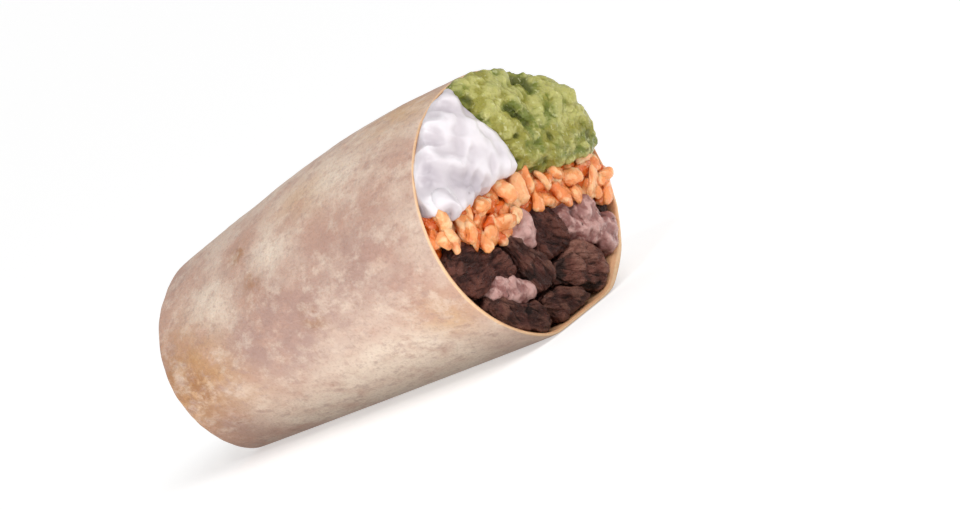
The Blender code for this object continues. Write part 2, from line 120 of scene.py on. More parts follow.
class MaterialKit:
    """One material while it is built: its shader and the patterns that colour it."""

    def __init__(self, name: str) -> None:
        """Start a material whose patterns lie in the object's own coordinates."""
        self.material = bpy.data.materials.new(name)
        self.material.use_nodes = True
        self.links = self.material.node_tree.links
        self.shader = self.material.node_tree.nodes["Principled BSDF"]
        self.place = self.add("TexCoord").outputs["Object"]

    def add(
        self,
        kind: str,
        settings: dict[str, object] | None = None,
        inputs: dict[str | int, object] | None = None,
    ) -> Node:
        """Add one shader node with its settings, values and links.

        Args:
            kind: The node's type without its "ShaderNode" prefix.
            settings: Properties of the node itself, by name.
            inputs: Values or output sockets for the node's inputs, by name or number.

        Returns:
            The new node.
        """
        node = self.material.node_tree.nodes.new("ShaderNode" + kind)
        for name, value in (settings or {}).items():
            setattr(node, name, value)
        for name, value in (inputs or {}).items():
            socket = node.inputs[name]
            if isinstance(value, NodeSocket):
                self.links.new(value, socket)
            else:
                socket.default_value = value
        return node

    def marked(self, name: str) -> NodeSocket:
        """Read a share that the mesh carries under a name."""
        return self.add("Attribute", {"attribute_name": name}).outputs["Fac"]

    def product(self, first: NodeSocket, second: NodeSocket | float) -> NodeSocket:
        """Multiply two shares."""
        return self.add("Math", {"operation": "MULTIPLY"}, {0: first, 1: second}).outputs[0]

    def between(self, value: NodeSocket, low: float, high: float) -> NodeSocket:
        """Return how far a value has gone from low (0) to high (1), with soft ends."""
        limits = {"Value": value, "From Min": low, "From Max": high}
        smooth = {"interpolation_type": "SMOOTHSTEP"}
        return self.add("MapRange", smooth, limits).outputs["Result"]

    def ramp(self, share: NodeSocket, start: NodeSocket | float, end: float) -> NodeSocket:
        """Return the value that runs from start to end as a share goes from 0 to 1."""
        limits = {"Value": share, "To Min": start, "To Max": end}
        return self.add("MapRange", None, limits).outputs["Result"]

    def stretched(self, place: NodeSocket, scale: tuple[float, float, float]) -> NodeSocket:
        """Scale coordinates, so that marks are drawn out where the scale is small."""
        inputs = {"Vector": place, "Scale": scale}
        return self.add("Mapping", {"vector_type": "POINT"}, inputs).outputs[0]

    def speckle(
        self,
        place: NodeSocket,
        size_mm: float,
        low: float,
        high: float,
        detail: float = 3.0,
        roughness: float = 0.55,
    ) -> NodeSocket:
        """Add soft patches of one size, as a share from 0 to 1.

        Args:
            place: Coordinates to read.
            size_mm: The patches' own size.
            low: Noise value at which a patch starts.
            high: Noise value at which a patch is full.
            detail: Octaves of finer unevenness.
            roughness: How strong the finer octaves are.

        Returns:
            The share as a socket.
        """
        cloud = self.add("TexNoise", None, {
            "Vector": place, "Scale": per_metre(size_mm), "Detail": detail, "Roughness": roughness,
        })
        return self.between(cloud.outputs["Fac"], low, high)

    def blend(
        self,
        share: NodeSocket,
        first: NodeSocket | str,
        second: NodeSocket | str,
        strength: float = 1.0,
    ) -> NodeSocket:
        """Mix two colours.

        Args:
            share: How much of the second colour shows.
            first: A colour socket or a hex colour.
            second: A colour socket or a hex colour.
            strength: The most of the second colour that shows.

        Returns:
            The mixed colour as a socket.
        """
        amount = self.product(share, strength)
        mix = self.add("Mix", {"data_type": "RGBA"})
        self.links.new(amount, mix.inputs[0])
        for socket, colour in ((mix.inputs[6], first), (mix.inputs[7], second)):
            if isinstance(colour, str):
                socket.default_value = linear(colour)
            else:
                self.links.new(colour, socket)
        return mix.outputs[2]

    def bump(
        self,
        height: NodeSocket,
        depth_mm: float,
        under: NodeSocket | None = None,
        strength: float = 1.0,
    ) -> NodeSocket:
        """Turn a height pattern into relief of a real depth.

        Args:
            height: The pattern, from 0 to 1.
            depth_mm: The relief's real depth.
            under: A coarser relief that this one lies on.
            strength: How strongly the relief shades.

        Returns:
            The normal as a socket.
        """
        inputs = {"Height": height, "Distance": depth_mm * MM, "Strength": strength}
        if under is not None:
            inputs["Normal"] = under
        return self.add("Bump", None, inputs).outputs["Normal"]

    def dress(self, colour: NodeSocket, relief: NodeSocket, values: dict[str, object]) -> Material:
        """Give the material its colour, its relief and its plain values.

        Args:
            colour: The base colour.
            relief: The normal that carries the fine relief.
            values: Values of the shader's other inputs, by name.

        Returns:
            The finished material.
        """
        self.links.new(colour, self.shader.inputs["Base Color"])
        self.links.new(relief, self.shader.inputs["Normal"])
        for name, value in values.items():
            self.shader.inputs[name].default_value = value
        return self.material


def translucent(
    weight: float, radius: tuple[float, float, float], scale_mm: float
) -> dict[str, object]:
    """Return the shader's values for food that some light goes into, to a depth of scale_mm."""
    return {
        "Subsurface Weight": weight,
        "Subsurface Radius": radius,
        "Subsurface Scale": scale_mm * MM,
    }


@dataclass(frozen=True)
class FlourTortilla:
    """Soft wheat tortilla, pressed thin and warmed on a griddle.

    It is pale and floury, rosy between the flour, golden and tan where the griddle
    touched it, with a fine sandy grain. It has a dull, slightly silky surface.
    """

    rosy: str = "#c09b8a"
    mauve: str = "#ab8b80"
    floury: str = "#e3d1bf"
    golden: str = "#c89a66"
    tan: str = "#a1724a"
    sand: str = "#a07b66"
    crumb_and_highlight: str = "#e9c39b"
    lining: str = "#d6a37a"

    def material(self) -> Material:
        """Build the finish: griddle marks outside, warm crumb at the cut and inside; the crumb at
        the cut is also painted lighter as a highlight.
        """
        kit = MaterialKit("flour_tortilla")
        place = kit.place
        drawn = kit.stretched(place, (0.7, 1.0, 1.0))
        base = kit.blend(kit.speckle(drawn, 14, 0.42, 0.6, 4.0), self.rosy, self.floury, 0.5)
        dusky = kit.blend(kit.speckle(drawn, 21, 0.54, 0.7, 4.0), base, self.mauve, 0.5)
        cloudy = kit.speckle(drawn, 5.5, 0.26, 0.58, 5.0, 0.65)
        dusted = dusky
        tones = {"golden": self.golden, "mauve": self.mauve, "floury": self.floury}
        for name, tone in tones.items():
            dusted = kit.blend(kit.product(kit.marked(name), cloudy), dusted, tone)
        flecks = kit.speckle(place, 2.4, 0.34, 0.56, 4.0, 0.65)
        toasted = kit.blend(kit.product(kit.marked("tan"), flecks), dusted, self.tan)
        wisps = kit.speckle(drawn, 4.5, 0.46, 0.68, 5.0, 0.7)
        wispy = kit.blend(wisps, toasted, self.floury, 0.5)
        dusk = kit.blend(kit.speckle(drawn, 2.6, 0.5, 0.68, 5.0, 0.7), wispy, self.mauve, 0.5)
        sandy = kit.blend(kit.speckle(place, 0.7, 0.48, 0.7, 3.0), dusk, self.sand, 0.26)
        # The cut edge takes the crumb colour: the paler dough inside, and partly a painted
        # highlight along the rim.
        cut = kit.blend(kit.marked("cut_edge"), sandy, self.crumb_and_highlight)
        lined = kit.blend(kit.marked("lining"), cut, self.lining)
        dimples = kit.bump(kit.speckle(drawn, 3.2, 0.3, 0.7, 3.0), 0.3, None, 0.7)
        relief = kit.bump(kit.speckle(place, 0.7, 0.3, 0.7, 2.0), 0.10, dimples, 0.6)
        return kit.dress(lined, relief, {
            "Roughness": 0.5,
            "Specular IOR Level": 0.3,
            **translucent(0.1, (1.0, 0.55, 0.35), 1.5),
        })


@dataclass(frozen=True)
class AvocadoMash:
    """Ripe avocado mashed with a fork: yellow green, oily and wet, with paler pulp."""

    flesh: str = "#99943c"
    deep: str = "#495010"
    green: str = "#747e2d"
    light: str = "#ccc87c"
    pulp: str = "#dfdfa6"

    def material(self) -> Material:
        """Build the finish: a painted highlight, pale, on the crests, painted shade, deep green,
        in the hollows, and wet gloss.
        """
        kit = MaterialKit("avocado_mash")
        place = kit.place
        height = kit.marked("relief_height")
        mottled = kit.blend(kit.speckle(place, 7.0, 0.42, 0.6), self.flesh, self.green)
        creamy = kit.blend(kit.speckle(place, 3.6, 0.5, 0.66, 4.0), mottled, self.light, 0.65)
        # Painted shade: deep green where the relief is low.
        hollow = kit.blend(kit.between(height, 0.5, 0.2), creamy, self.deep, 0.8)
        # Painted highlight: paler where the relief is high.
        painted_crest_highlight = kit.blend(kit.between(height, 0.6, 0.85), hollow, self.light, 0.6)
        lumps = kit.blend(kit.speckle(place, 1.5, 0.6, 0.7), painted_crest_highlight, self.pulp, 0.5)
        relief = kit.bump(kit.speckle(place, 0.9, 0.3, 0.7, 4.0), 0.35)
        return kit.dress(lumps, relief, {
            "Roughness": 0.2,
            **translucent(0.2, (0.8, 1.0, 0.2), 1.5),
        })


@dataclass(frozen=True)
class SouredCream:
    """Thick soured cream from a spoon: cool white, smooth and faintly glossy."""

    white: str = "#ccc4c9"
    painted_crest_highlight: str = "#e0dade"
    shade: str = "#b8afb6"

    def material(self) -> Material:
        """Build the finish: near white on the folds, a painted highlight on their crests and cool
        painted shade in the hollows between them.
        """
        kit = MaterialKit("soured_cream")
        place = kit.place
        height = kit.marked("relief_height")
        # Painted shade in the hollows between the folds and a painted highlight on their crests,
        # both from the relief height.
        fold_shaded = kit.blend(kit.between(height, 0.55, 0.2), self.white, self.shade, 0.9)
        fold_crest_lit = kit.blend(kit.between(height, 0.55, 0.85), fold_shaded, self.painted_crest_highlight)
        relief = kit.bump(kit.speckle(place, 2.4, 0.3, 0.7, 1.0), 0.12, None, 0.5)
        return kit.dress(fold_crest_lit, relief, {
            "Roughness": 0.32,
            **translucent(0.15, (1.0, 0.85, 0.85), 1.5),
        })


@dataclass(frozen=True)
class OrangeRice:
    """Long-grain rice cooked in tomato and stock: orange, tender and translucent."""

    grain: str = "#f29a5a"
    deep: str = "#d8641f"
    pale: str = "#fbd4a5"

    def material(self) -> Material:
        """Build the finish: each grain has its own tone, with painted shade in its dents, in the
        core and in the deeper layers, and a painted highlight on its crests.
        """
        kit = MaterialKit("orange_rice")
        place = kit.place
        tone = kit.marked("grain_tone")
        toned = kit.blend(kit.between(tone, 0.45, 1.0), self.grain, self.pale)
        # A low tone gives the deep colour: at random per grain, and as painted shade for the core
        # and the deeper layers.
        tone_with_depth_shade = kit.blend(kit.between(tone, 0.5, 0.0), toned, self.deep)
        height = kit.marked("relief_height")
        # Painted shade in each grain's dents.
        dent_shaded = kit.blend(kit.between(height, 0.45, 0.15), tone_with_depth_shade, self.deep, 0.5)
        # Painted highlight on each grain's crests.
        grain_crest_lit = kit.blend(kit.between(height, 0.55, 0.8), dent_shaded, self.pale, 0.7)
        clear = kit.blend(kit.speckle(place, 1.8, 0.55, 0.66), grain_crest_lit, self.pale, 0.4)
        relief = kit.bump(kit.speckle(place, 0.8, 0.3, 0.7, 3.0), 0.15)
        return kit.dress(clear, relief, {
            "Roughness": 0.18,
            **translucent(0.35, (1.0, 0.6, 0.3), 0.8),
        })


@dataclass(frozen=True)
class GrilledBeef:
    """Chopped grilled steak: brown, with fibres that run one way and juice; its rims are browned
    and painted lighter as a highlight, its crests carry a painted highlight and its cracks painted
    shade.
    """

    crust: str = "#3a1c16"
    meat: str = "#522b24"
    fibre_and_highlight: str = "#7f5546"
    seam: str = "#2b1611"
    crack_shade: str = "#1f100c"
    dry_roughness: float = 0.6
    juicy_roughness: float = 0.16
    specular: float = 0.26
    turn: tuple[float, float, float] = (0.0, 0.0, 0.0)

    def material(self, name: str) -> Material:
        """Build the finish of one piece.

        Args:
            name: The piece's name.

        Returns:
            A material whose fibres run along the piece's own grain.
        """
        kit = MaterialKit("grilled_beef_" + name)
        place = kit.place
        inputs = {"Vector": place, "Rotation": self.turn}
        turned = kit.add("Mapping", {"vector_type": "TEXTURE"}, inputs).outputs["Vector"]
        grain = kit.stretched(turned, (0.14, 1.0, 1.0))
        height = kit.marked("relief_height")
        browned = kit.blend(kit.speckle(place, 4.0, 0.4, 0.62), self.crust, self.meat)
        stranded = kit.blend(kit.speckle(grain, 0.9, 0.48, 0.66, 4.0), browned, self.fibre_and_highlight, 0.36)
        dark = kit.blend(kit.speckle(grain, 1.7, 0.52, 0.66, 3.0), stranded, self.seam, 0.6)
        # The shoulders round the cut face are painted lighter: partly a browned rim, partly a
        # painted highlight where they catch the light.
        rimmed = kit.blend(kit.marked("shoulder"), dark, self.fibre_and_highlight, 0.34)
        # Painted highlight on the crests of the relief.
        painted_crest_highlight = kit.blend(kit.between(height, 0.6, 0.85), rimmed, self.fibre_and_highlight, 0.6)
        # Painted shade: the cracks, where the relief is low, are darkened nearly to black.
        crack = kit.blend(kit.between(height, 0.42, 0.16), painted_crest_highlight, self.crack_shade, 0.9)
        pits = kit.bump(kit.speckle(place, 1.3, 0.3, 0.7, 4.0), 0.25, None, 0.8)
        relief = kit.bump(kit.speckle(grain, 0.8, 0.3, 0.7, 3.0), 0.35, pits)
        juice = kit.speckle(place, 1.2, 0.5, 0.62)
        wet = kit.ramp(juice, self.dry_roughness, self.juicy_roughness)
        kit.links.new(wet, kit.shader.inputs["Roughness"])
        return kit.dress(crack, relief, {"Specular IOR Level": self.specular})


# Copies of the beef with painted light and shade: a paler copy for a chunk that lies in shade and
# a darker copy for chunks that face the light. DARKER_BEEF is darker still, for chunk 7 and the
# bed.
BEEF_WITH_PAINTED_LIGHT = GrilledBeef(crust="#512a20", meat="#704237", fibre_and_highlight="#97695a")
BEEF_WITH_PAINTED_SHADE = GrilledBeef(crust="#2c120d", meat="#3f1c16", fibre_and_highlight="#6e4034")
DARKER_BEEF = GrilledBeef(crust="#25130f", meat="#3a231c")


@dataclass(frozen=True)
class MashedBeans:
    """Pinto beans, half mashed: mauve pink, pasty and moist, with paler skins."""

    paste: str = "#8d5d57"
    skin_and_highlight: str = "#d2a8a0"
    deep: str = "#4e2a27"

    def material(self) -> Material:
        """Build the finish: pasty lumps with paler skins, a painted highlight on their crests and
        painted shade where they meet.
        """
        kit = MaterialKit("mashed_beans")
        place = kit.place
        height = kit.marked("relief_height")
        patches = kit.blend(kit.speckle(place, 2.8, 0.44, 0.62), self.paste, self.skin_and_highlight, 0.8)
        # Painted highlight: paler on the crests of the relief.
        painted_crest_highlight = kit.blend(kit.between(height, 0.6, 0.9), patches, self.skin_and_highlight, 0.6)
        # Painted shade where the lumps meet, low in the relief.
        shaded = kit.blend(kit.between(height, 0.5, 0.2), painted_crest_highlight, self.deep, 0.9)
        relief = kit.bump(kit.speckle(place, 1.1, 0.3, 0.7, 3.0), 0.16)
        return kit.dress(shaded, relief, {
            "Roughness": 0.25,
            "Specular IOR Level": 0.4,
            **translucent(0.12, (1.0, 0.5, 0.45), 1.2),
        })


@dataclass(frozen=True)
class Relief:
    """One size of real unevenness that is pressed into a mesh."""

    size_mm: float
    height_mm: float
    seed: float = 0.0
    octaves: int = 2
    stretch: tuple[float, float, float] = (1.0, 1.0, 1.0)
    turn: tuple[float, float, float] = (0.0, 0.0, 0.0)
    pattern: Pattern = Pattern.ROLLING
    crack: float = 0.35

    def reader(self) -> Matrix:
        """Return the matrix that carries a place to the pattern's own space."""
        sizes = [1.0 / (self.size_mm * MM * part) for part in self.stretch]
        return Matrix.Diagonal((*sizes, 1.0)) @ Euler(self.turn).to_matrix().inverted().to_4x4()

    def height(self, place: Vector) -> float:
        """Return the relief, from about -1 to 1, at a place in the pattern's space."""
        place = place + Vector((self.seed, -self.seed, 2 * self.seed))
        if self.pattern is Pattern.ROLLING:
            return noise.fractal(place, 1.0, 2.0, self.octaves)
        if self.pattern is Pattern.RIDGED:
            return RIDGE_TOP - RIDGE_STEEPNESS * abs(noise.fractal(place, 1.0, 2.0, self.octaves))
        warped = place + WARP_DEPTH * noise.noise_vector(WARP_SCALE * place)
        nearest, second = noise.voronoi(warped)[0][:2]
        if self.pattern is Pattern.PEBBLED:
            return PEBBLE_TOP - PEBBLE_STEEPNESS * nearest * nearest
        return FIBRE_HEIGHT * min((second - nearest) / self.crack, 1.0) + FIBRE_BASE


def select_only(*pieces: Object) -> None:
    """Deselect everything, then select the pieces and make the first one active."""
    for item in bpy.context.view_layer.objects:
        item.select_set(False)
    for piece in pieces:
        piece.select_set(True)
    bpy.context.view_layer.objects.active = pieces[0]


@contextmanager
def editing(piece: Object) -> Iterator[None]:
    """Open a piece's mesh with all of it selected, and close it afterwards."""
    select_only(piece)
    bpy.ops.object.mode_set(mode="EDIT")
    bpy.ops.mesh.select_all(action="SELECT")
    yield
    bpy.ops.object.mode_set(mode="OBJECT")


def stand(name: str, data: bpy.types.ID) -> Object:
    """Put a new object in the scene, at the origin."""
    item = bpy.data.objects.new(name, data)
    bpy.context.scene.collection.objects.link(item)
    return item


def copy_of(node: str, name: str) -> Object:
    """Copy a solid, with its loose triangles merged.

    Args:
        node: The solid's name.
        name: The copy's name.

    Returns:
        The copy, with no material.
    """
    piece = stand(name, frame["nodes"][node].data.copy())
    piece.data.materials.clear()
    with editing(piece):
        bpy.ops.mesh.remove_doubles(threshold=MERGE_DISTANCE)
        bpy.ops.mesh.customdata_custom_splitnormals_clear()
    return piece


def keep_side(piece: Object, x: float, front: bool) -> None:
    """Cut a piece square at x and close it.

    Args:
        piece: The piece to cut.
        x: Where it is cut.
        front: Whether the part past x is kept, or else the part before it.
    """
    with editing(piece):
        bpy.ops.mesh.bisect(
            plane_co=(x, 0.0, 0.0), plane_no=(1.0, 0.0, 0.0), use_fill=True,
            clear_inner=front, clear_outer=not front,
        )


def remesh(piece: Object, voxel_mm: float, passes: int) -> None:
    """Give a piece an even, fine mesh and soften it.

    Args:
        piece: The piece to remesh.
        voxel_mm: The new mesh's spacing.
        passes: How many times it is smoothed.
    """
    select_only(piece)
    grid = piece.modifiers.new("grid", "REMESH")
    grid.mode = "VOXEL"
    grid.voxel_size = voxel_mm * MM
    bpy.ops.object.modifier_apply(modifier=grid.name)
    soften(piece, passes)
    bpy.ops.object.shade_smooth()


def soften(piece: Object, passes: int) -> None:
    """Smooth a piece's surface, more with each pass."""
    if passes:
        select_only(piece)
        smoother = piece.modifiers.new("soften", "SMOOTH")
        smoother.iterations = passes
        bpy.ops.object.modifier_apply(modifier=smoother.name)


def places(piece: Object) -> np.ndarray:
    """Return the piece's vertices as rows of x, y and z."""
    flat = np.empty(len(piece.data.vertices) * 3, np.float32)
    piece.data.vertices.foreach_get("co", flat)
    return flat.reshape(-1, 3)


def set_places(piece: Object, rows: np.ndarray) -> None:
    """Move the piece's vertices to the rows of x, y and z."""
    piece.data.vertices.foreach_set("co", rows.astype(np.float32).ravel())
    piece.data.update()


def mark(piece: Object, name: str, values: np.ndarray) -> None:
    """Store one value for each vertex under a name."""
    layer = piece.data.attributes.new(name, "FLOAT", "POINT")
    layer.data.foreach_set("value", values.astype(np.float32))


def outward(piece: Object) -> np.ndarray:
    """Return the piece's vertex normals as rows of x, y and z."""
    flat = np.empty(len(piece.data.vertices) * 3, np.float32)
    piece.data.vertex_normals.foreach_get("vector", flat)
    return flat.reshape(-1, 3)


def swell(piece: Object, growth_mm: float, weight: np.ndarray) -> None:
    """Grow a piece along its normals, so that soft food fills the room it has.

    Args:
        piece: The piece to grow.
        growth_mm: How far its surface moves out.
        weight: How much each vertex takes, from 0 to 1.
    """
    set_places(piece, places(piece) + outward(piece) * (growth_mm * MM * weight)[:, None])


def roughen(piece: Object, reliefs: tuple[Relief, ...], weight: np.ndarray) -> None:
    """Press reliefs into a piece along its normals, and mark how high each place is.

    Args:
        piece: The piece to roughen.
        reliefs: The sizes of unevenness, coarse to fine.
        weight: How much each vertex takes, from 0 to 1.
    """
    rows = places(piece)
    normals = outward(piece)
    total = np.zeros(len(rows))
    span = sum(relief.height_mm for relief in reliefs)
    for relief in reliefs:
        reader = relief.reader()
        heights = np.array([relief.height(reader @ Vector(row)) for row in rows])
        total += heights * relief.height_mm
    set_places(piece, rows + normals * (total * weight * MM)[:, None])
    mark(piece, "relief_height", np.clip(0.5 + total / span, 0.0, 1.0))


def finish_piece(piece: Object, slot: str, *nodes: str) -> None:
    """Hang a piece on the model and hide the solids it stands for."""
    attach(piece, BODY)
    if nodes:
        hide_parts(*nodes)
    triangles = sum(len(face.vertices) - 2 for face in piece.data.polygons)
    LOG.info("%s: %d triangles", piece.name, triangles)


@dataclass(frozen=True)
class GriddleMark:
    """One soft patch on the sheet, placed along the roll and round it.

    along and reach are millimetres: how far the patch is from the cut, and how far it
    spreads round the roll. around is degrees: 90 is the top, 180 the near side.
    """

    kind: str
    along: float
    around: float
    reach: float
    draw: float = 1.4
    strength: float = 1.0

    def share(self, along: np.ndarray, around: np.ndarray, radius: float) -> np.ndarray:
        """Return the patch's strength, from 0 to 1, at places on the sheet."""
        turn = (around - self.around + 180.0) % 360.0 - 180.0
        across = np.radians(turn) * radius
        away = np.hypot((along - self.along) / self.draw, across) / self.reach
        return self.strength * np.exp(-MARK_FALLOFF * away**2)


def marks_of(kind: str, *values: tuple[float, ...]) -> tuple[GriddleMark, ...]:
    """Return marks of one kind, each from its along, around, reach, draw and strength."""
    return tuple(GriddleMark(kind, *value) for value in values)


@dataclass
class TortillaWrap:
    """The rolled flour tortilla: folded tail, swelling side, cut rim and lining."""

    rim_bevel: float = 0.3 * MM
    sharp_angle: float = 60.0
    levels: int = 2
    rest_band: float = 1.5 * MM
    rest_fade: float = 6.0 * MM
    roll_radius_mm: float = 31.0
    inward: float = 2.0 * MM
    tail_share: float = 0.08
    tail_facing: float = 0.3
    edge_depth: float = 3.0 * MM
    edge_facing: float = 0.3
    edge_fade: float = 0.4
    near_marks: tuple[GriddleMark, ...] = (
        *marks_of(
            "golden", (86.0, 188.0, 14.0, 1.5), (100.0, 205.0, 12.0, 1.0, 0.8),
            (14.0, 102.0, 9.0, 1.6), (10.0, 205.0, 7.0, 1.4, 0.8), (40.0, 128.0, 8.0, 1.8, 0.6),
        ),
        *marks_of(
            "tan", (98.0, 198.0, 15.0, 1.2, 0.9), (66.0, 142.0, 3.4, 1.0),
            (60.0, 160.0, 4.0, 1.0, 0.6), (90.0, 196.0, 3.5, 1.2, 0.7),
            (44.0, 184.0, 3.0, 1.2, 0.8),
        ),
        *marks_of(
            "mauve", (104.0, 180.0, 11.0, 1.0, 0.7), (56.0, 188.0, 12.0, 1.6),
            (66.0, 176.0, 15.0, 1.6, 0.6), (92.0, 222.0, 9.0, 1.4), (24.0, 170.0, 14.0, 1.4, 0.85),
        ),
        # The floury marks low on the near flank, 216 to 238 degrees round, are partly flour and
        # partly painted light: they lighten the side that faces the table.
        *marks_of(
            "floury", (42.0, 226.0, 13.0, 2.6), (52.0, 148.0, 7.0, 1.4), (30.0, 216.0, 9.0, 2.2),
            (78.0, 160.0, 8.0, 1.6, 0.9), (70.0, 232.0, 8.0, 2.0, 0.8),
            (26.0, 130.0, 8.0, 2.0, 0.8), (44.0, 106.0, 12.0, 3.0, 0.7),
            (34.0, 238.0, 11.0, 2.6, 0.9),
        ),
    )
    far_marks: int = 34
    far_along: tuple[float, float] = (4.0, 106.0)
    far_around: tuple[float, float] = (-95.0, 75.0)
    seed: int = 5

    def build(self) -> None:
        """Build the wrap from its solid, add its wrinkles and dress it."""
        piece = copy_of("tortilla", "tortilla_wrap")
        self.refine(piece)
        rows = places(piece)
        lift = np.clip((rows[:, 2] - self.rest_band) / self.rest_fade, 0.0, 1.0)
        inside = self.lining_share(piece)
        roughen(piece, self.wrinkles(), lift * (1.0 - inside))
        rows = places(piece)
        rows[:, 2] = np.maximum(rows[:, 2], 0.0)
        set_places(piece, rows)
        mark(piece, "lining", inside)
        mark(piece, "cut_edge", self.edge_share(piece))
        self.brown(piece)
        piece.data.materials.append(FlourTortilla().material())
        finish_piece(piece, "tortilla_dough", "tortilla")

    def refine(self, piece: Object) -> None:
        """Turn the wrap's triangles into quads, round its rim and subdivide it."""
        with editing(piece):
            bpy.ops.mesh.tris_convert_to_quads(face_threshold=math.pi, shape_threshold=math.pi)
            bpy.ops.mesh.select_all(action="DESELECT")
            bpy.ops.mesh.select_mode(type="EDGE")
            bpy.ops.mesh.edges_select_sharp(sharpness=math.radians(self.sharp_angle))
            bpy.ops.mesh.bevel(offset=self.rim_bevel, segments=1, affect="EDGES")
        bpy.ops.object.shade_smooth()
        finer = piece.modifiers.new("finer", "SUBSURF")
        finer.levels = self.levels
        finer.render_levels = self.levels
        bpy.ops.object.modifier_apply(modifier=finer.name)

    def wrinkles(self) -> tuple[Relief, ...]:
        """Return the sheet's unevenness: slow waves, then soft creases along the roll."""
        return (
            Relief(19.0, 0.45, 3.1, 2, (1.6, 1.0, 1.0)),
            Relief(6.0, 0.16, 7.4, 2, (2.6, 1.0, 1.0), (0.0, 0.0, 0.3)),
            Relief(2.6, 0.06, 1.7, 1),
        )

    def lining_share(self, piece: Object) -> np.ndarray:
        """Return 1 where a vertex is on the lining, and 0 on the outside."""
        rows, normals = places(piece), outward(piece)
        centre = (TORTILLA_LOW + TORTILLA_HIGH) / 2
        length = TORTILLA_HIGH.x - TORTILLA_LOW.x
        from_middle = rows[:, 1:] - np.array([centre.y, centre.z])[None, :]
        facing = (from_middle * normals[:, 1:]).sum(1)
        at_tail = rows[:, 0] < TORTILLA_LOW.x + self.tail_share * length
        inner_tail = at_tail & (normals[:, 0] > self.tail_facing)
        return ((facing < -self.inward) | inner_tail).astype(float)

    def edge_share(self, piece: Object) -> np.ndarray:
        """Return how much each vertex belongs to the cut edge of the sheet."""
        near = places(piece)[:, 0] > CUT_X - self.edge_depth
        share = (outward(piece)[:, 0] - self.edge_facing) / self.edge_fade
        return np.where(near, np.clip(share, 0.0, 1.0), 0.0)

    def brown(self, piece: Object) -> None:
        """Mark where the griddle browned the sheet and where flour stayed on it; low on the near
        flank the floury marks are also painted light.
        """
        rows = places(piece)
        centre = (TORTILLA_LOW + TORTILLA_HIGH) / 2
        along = (CUT_X - rows[:, 0]) / MM
        around = np.degrees(np.arctan2(rows[:, 2] - centre.z, rows[:, 1] - centre.y))
        totals = {kind: np.zeros(len(rows)) for kind in ("golden", "tan", "mauve", "floury")}
        for patch in (*self.near_marks, *self.scattered_marks()):
            totals[patch.kind] += patch.share(along, around, self.roll_radius_mm)
        for kind, total in totals.items():
            mark(piece, kind, np.clip(total, 0.0, 1.0))

    def scattered_marks(self) -> list[GriddleMark]:
        """Spread more patches over the far side and the underside."""
        shuffle = random.Random(self.seed)
        reaches = {"golden": 8.0, "tan": 3.5, "mauve": 9.0, "floury": 8.0}
        marks = []
        for index in range(self.far_marks):
            kind = tuple(reaches)[index % len(reaches)]
            reach = reaches[kind] * shuffle.uniform(0.8, 1.2)
            along, around = shuffle.uniform(*self.far_along), shuffle.uniform(*self.far_around)
            marks.append(GriddleMark(kind, along, around, reach, shuffle.uniform(1.2, 2.0)))
        return marks


@dataclass(frozen=True)
class Drop:
    """A soft drop that hangs from a layer at the cut.

    middle is millimetres out of the cut, across it and up from its middle. radii are its
    half sizes the same three ways.
    """

    middle: tuple[float, float, float]
    radii: tuple[float, float, float]

    def add(self) -> Object:
        """Add the drop where it hangs."""
        bpy.ops.object.select_all(action="DESELECT")
        out, across, up = self.middle
        bpy.ops.mesh.primitive_ico_sphere_add(
            subdivisions=3, radius=1.0,
            location=(CUT_X + out * MM, across * MM, TORTILLA_HIGH.z / 2 + up * MM),
            scale=tuple(size * MM for size in self.radii),
        )
        bpy.ops.object.transform_apply(location=True, rotation=True, scale=True)
        return bpy.context.object


@dataclass
class Layer:
    """One layer that runs the length of the roll and shows at the cut."""

    node: str
    name: str
    slot: str
    reliefs: tuple[Relief, ...]
    voxel_mm: float = 0.32
    passes: int = 4
    growth_mm: float = 0.7
    front_depth: float = 9.0 * MM
    join_overlap: float = 0.6 * MM
    face_depth: float = 1.5 * MM
    fade: float = 2.0 * MM
    side_weight: float = 0.25
    settling: int = 0
    drops: tuple[Drop, ...] = ()

    def build(self, material: Material) -> Object:
        """Build the layer: a fine face at the cut on a plain length behind it.

        Args:
            material: The layer's finish.

        Returns:
            The finished piece.
        """
        face = copy_of(self.node, self.name)
        split = CUT_X - self.front_depth
        keep_side(face, split - self.join_overlap, True)
        select_only(face, *(drop.add() for drop in self.drops))
        bpy.ops.object.join()
        remesh(face, self.voxel_mm, self.passes)
        rows = places(face)
        share = np.clip((rows[:, 0] - CUT_X + self.face_depth) / self.fade, 0.0, 1.0)
        front = np.clip((rows[:, 0] - split) / self.fade, 0.0, 1.0)
        swell(face, self.growth_mm, front)
        roughen(face, self.reliefs, (self.side_weight + (1 - self.side_weight) * share) * front)
        soften(face, self.settling)
        length = copy_of(self.node, self.name + "_length")
        keep_side(length, split, False)
        mark(length, "relief_height", np.full(len(length.data.vertices), 0.5))
        select_only(face, length)
        bpy.ops.object.join()
        face.data.materials.clear()
        face.data.materials.append(material)
        finish_piece(face, self.slot, self.node)
        return face


